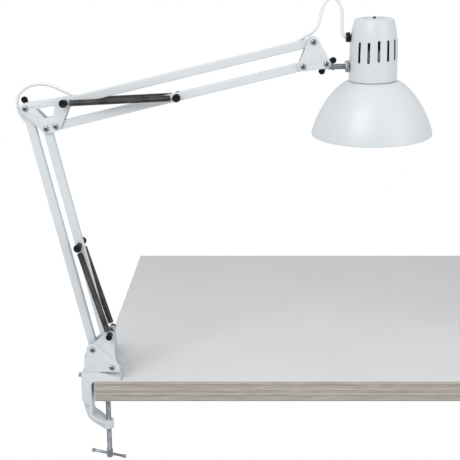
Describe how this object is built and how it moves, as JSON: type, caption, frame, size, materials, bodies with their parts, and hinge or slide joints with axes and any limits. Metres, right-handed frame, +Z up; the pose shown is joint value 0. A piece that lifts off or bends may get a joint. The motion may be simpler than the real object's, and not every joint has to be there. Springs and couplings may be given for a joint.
{
  "type": "swing arm desk lamp",
  "caption": "Swing arm desk lamp with a screw clamp, parallel square-tube arms balanced by springs, a bell shade and a cylindrical neck.",
  "frame": {"origin": "underside of the clamp's upper jaw, at the edge of the table top it rests on, in the plane of the arms", "axes": "+X from the base towards the lamp head along the arms' plane, +Y across it towards the rear plates and wing nuts, +Z up"},
  "size_m": [0.6042, 0.2061, 0.7071],
  "materials": {
    "clamp_frame": "satin white paint on cast metal",
    "swivel_lock_screw": "bright zinc plate",
    "mains_hank": "white PVC cord sheath",
    "mains_plug": "white PVC cord sheath",
    "pressure_pad": "bright zinc plate",
    "clamp_screw": "bright zinc plate",
    "tommy_bar": "bright zinc plate",
    "base_yoke": "satin white powder coat",
    "swivel_pin": "bright zinc plate",
    "spring_post_front": "satin white powder coat",
    "spring_post_rear": "satin white powder coat",
    "post_bolt_front": "bright zinc plate",
    "post_bolt_rear": "bright zinc plate",
    "post_sleeve_front": "moulded black plastic",
    "post_sleeve_rear": "moulded black plastic",
    "base_bolt_upper": "bright zinc plate",
    "base_bolt_lower": "bright zinc plate",
    "cord_strain_relief": "moulded black plastic",
    "mains_lead": "white PVC cord sheath",
    "lower_spring_front": "blackened spring wire",
    "lower_spring_rear": "blackened spring wire",
    "lower_rear_tube": "satin white powder coat",
    "lower_front_tube": "satin white powder coat",
    "lower_spring_pin": "bright zinc plate",
    "lower_spring_knob_front": "moulded black plastic",
    "lower_spring_knob_rear": "moulded black plastic",
    "elbow_plate_front": "satin white powder coat",
    "elbow_plate_rear": "satin white powder coat",
    "elbow_bolt_rear": "bright zinc plate",
    "elbow_bolt_front": "bright zinc plate",
    "elbow_bolt_arm": "bright zinc plate",
    "elbow_spring_pin": "bright zinc plate",
    "elbow_spring_knob_front": "moulded black plastic",
    "elbow_spring_knob_rear": "moulded black plastic",
    "elbow_cord": "white PVC cord sheath",
    "upper_spring_front": "blackened spring wire",
    "upper_spring_rear": "blackened spring wire",
    "elbow_wing_nut": "moulded black plastic",
    "upper_top_tube": "satin white powder coat",
    "upper_bottom_tube": "satin white powder coat",
    "upper_spring_pin": "bright zinc plate",
    "upper_spring_knob_front": "moulded black plastic",
    "upper_spring_knob_rear": "moulded black plastic",
    "head_plate_front": "satin white powder coat",
    "head_plate_rear": "satin white powder coat",
    "head_bolt_top": "bright zinc plate",
    "head_bolt_bottom": "bright zinc plate",
    "head_bolt_tilt": "bright zinc plate",
    "head_cord": "white PVC cord sheath",
    "head_wing_nut": "moulded black plastic",
    "stem": "bright zinc plate",
    "stem_nut_outer": "bright zinc plate",
    "stem_nut_inner": "bright zinc plate",
    "neck_cover": "satin white powder coat",
    "shade": "satin white powder coat",
    "lamp_socket": "off-white lampholder",
    "bulb": "opal glass",
    "cord_gland": "moulded black plastic",
    "switch_rocker": "moulded black plastic"
  },
  "bodies": {
    "clamp": {"clamp_frame": "clamp_frame", "swivel_lock_screw": "swivel_lock_screw", "mains_hank": "mains_hank", "mains_plug": "mains_plug"},
    "pressure_pad": {"pressure_pad": "pressure_pad"},
    "clamp_screw": {"clamp_screw": "clamp_screw"},
    "tommy_bar": {"tommy_bar": "tommy_bar"},
    "base": {"base_yoke": "base_yoke", "swivel_pin": "swivel_pin", "spring_post_front": "spring_post_front", "spring_post_rear": "spring_post_rear", "post_bolt_front": "post_bolt_front", "post_bolt_rear": "post_bolt_rear", "post_sleeve_front": "post_sleeve_front", "post_sleeve_rear": "post_sleeve_rear", "base_bolt_upper": "base_bolt_upper", "base_bolt_lower": "base_bolt_lower", "cord_strain_relief": "cord_strain_relief", "mains_lead": "mains_lead", "lower_spring_front": "lower_spring_front", "lower_spring_rear": "lower_spring_rear"},
    "lower_rear": {"lower_rear_tube": "lower_rear_tube"},
    "lower_front": {"lower_front_tube": "lower_front_tube", "lower_spring_pin": "lower_spring_pin", "lower_spring_knob_front": "lower_spring_knob_front", "lower_spring_knob_rear": "lower_spring_knob_rear"},
    "elbow": {"elbow_plate_front": "elbow_plate_front", "elbow_plate_rear": "elbow_plate_rear", "elbow_bolt_rear": "elbow_bolt_rear", "elbow_bolt_front": "elbow_bolt_front", "elbow_bolt_arm": "elbow_bolt_arm", "elbow_spring_pin": "elbow_spring_pin", "elbow_spring_knob_front": "elbow_spring_knob_front", "elbow_spring_knob_rear": "elbow_spring_knob_rear", "elbow_cord": "elbow_cord", "upper_spring_front": "upper_spring_front", "upper_spring_rear": "upper_spring_rear"},
    "elbow_wing_nut": {"elbow_wing_nut": "elbow_wing_nut"},
    "upper_top": {"upper_top_tube": "upper_top_tube"},
    "upper_bottom": {"upper_bottom_tube": "upper_bottom_tube", "upper_spring_pin": "upper_spring_pin", "upper_spring_knob_front": "upper_spring_knob_front", "upper_spring_knob_rear": "upper_spring_knob_rear"},
    "head_bracket": {"head_plate_front": "head_plate_front", "head_plate_rear": "head_plate_rear", "head_bolt_top": "head_bolt_top", "head_bolt_bottom": "head_bolt_bottom", "head_bolt_tilt": "head_bolt_tilt", "head_cord": "head_cord"},
    "head_wing_nut": {"head_wing_nut": "head_wing_nut"},
    "stem": {"stem": "stem", "stem_nut_outer": "stem_nut_outer", "stem_nut_inner": "stem_nut_inner"},
    "head": {"neck_cover": "neck_cover", "shade": "shade", "lamp_socket": "lamp_socket", "bulb": "bulb", "cord_gland": "cord_gland"},
    "switch": {"switch_rocker": "switch_rocker"}
  },
  "joints": [
    {"name": "screw_travel", "type": "slide", "parent": "clamp", "child": "pressure_pad", "axis": [0, 0, 1], "range_m": [-0.0225, 0.02813]},
    {"name": "screw_turn", "type": "hinge", "parent": "pressure_pad", "child": "clamp_screw", "pos_m": [0.018, 0, 0], "axis": [0, 0, 1], "range_deg": [-6000, 7500]},
    {"name": "tommy_bar_slide", "type": "slide", "parent": "clamp_screw", "child": "tommy_bar", "axis": [0.9272, -0.3746, 0], "range_m": [-0.017, 0.02]},
    {"name": "base_swivel", "type": "hinge", "parent": "clamp", "child": "base", "pos_m": [-0.001, 0, 0.012], "axis": [0, 0, 1], "range_deg": [-75, 75], "deforming": ["mains_lead"]},
    {"name": "lower_arm_tilt", "type": "hinge", "parent": "base", "child": "lower_rear", "pos_m": [-0.001, 0, 0.051], "axis": [0, 1, 0], "range_deg": [-12, 38], "deforming": ["lower_spring_front", "lower_spring_rear", "elbow_cord"]},
    {"name": "lower_front_tilt", "type": "hinge", "parent": "base", "child": "lower_front", "pos_m": [0.028, 0, 0.022], "axis": [0, 1, 0], "range_deg": [-12, 38], "deforming": ["lower_spring_front", "lower_spring_rear"]},
    {"name": "elbow_carry", "type": "hinge", "parent": "lower_rear", "child": "elbow", "pos_m": [-0.08542, 0, 0.41668], "axis": [0, 1, 0], "range_deg": [-38, 12], "deforming": ["elbow_cord"]},
    {"name": "elbow_nut_turn", "type": "hinge", "parent": "elbow", "child": "elbow_wing_nut", "pos_m": [-0.08542, 0, 0.41668], "axis": [0, 1, 0], "range_deg": [-180, 180]},
    {"name": "upper_arm_tilt", "type": "hinge", "parent": "elbow", "child": "upper_top", "pos_m": [-0.02826, 0, 0.42527], "axis": [0, 1, 0], "range_deg": [-35, 45], "deforming": ["upper_spring_front", "upper_spring_rear", "elbow_cord", "head_cord"]},
    {"name": "upper_bottom_tilt", "type": "hinge", "parent": "elbow", "child": "upper_bottom", "pos_m": [-0.04242, 0, 0.39108], "axis": [0, 1, 0], "range_deg": [-35, 45], "deforming": ["upper_spring_front", "upper_spring_rear"]},
    {"name": "head_carry", "type": "hinge", "parent": "upper_top", "child": "head_bracket", "pos_m": [0.32665, 0, 0.51047], "axis": [0, 1, 0], "range_deg": [-45, 35], "deforming": ["head_cord"]},
    {"name": "head_nut_turn", "type": "hinge", "parent": "head_bracket", "child": "head_wing_nut", "pos_m": [0.34599, 0, 0.47979], "axis": [0, 1, 0], "range_deg": [-180, 180]},
    {"name": "head_tilt", "type": "hinge", "parent": "head_bracket", "child": "stem", "pos_m": [0.34599, 0, 0.47979], "axis": [0, 1, 0], "range_deg": [-33.5, 61.5], "deforming": ["head_cord"]},
    {"name": "head_roll", "type": "hinge", "parent": "stem", "child": "head", "pos_m": [0.41318, 0, 0.47725], "axis": [0.9997, 0, 0.0262], "range_deg": [-60, 60], "deforming": ["head_cord"]},
    {"name": "switch_rock", "type": "hinge", "parent": "head", "child": "switch", "pos_m": [0.41208, 0.02576, 0.51915], "axis": [0.9997, 0, 0.0262], "range_deg": [-10, 10]}
  ],
  "couplings": [
    {"joint": "screw_turn", "follows": "screw_travel", "rad_per_m": 4188.8},
    {"joint": "lower_front_tilt", "follows": "lower_arm_tilt", "ratio": 1},
    {"joint": "elbow_carry", "follows": "lower_arm_tilt", "ratio": -1},
    {"joint": "upper_bottom_tilt", "follows": "upper_arm_tilt", "ratio": 1},
    {"joint": "head_carry", "follows": "upper_arm_tilt", "ratio": -1}
  ]
}
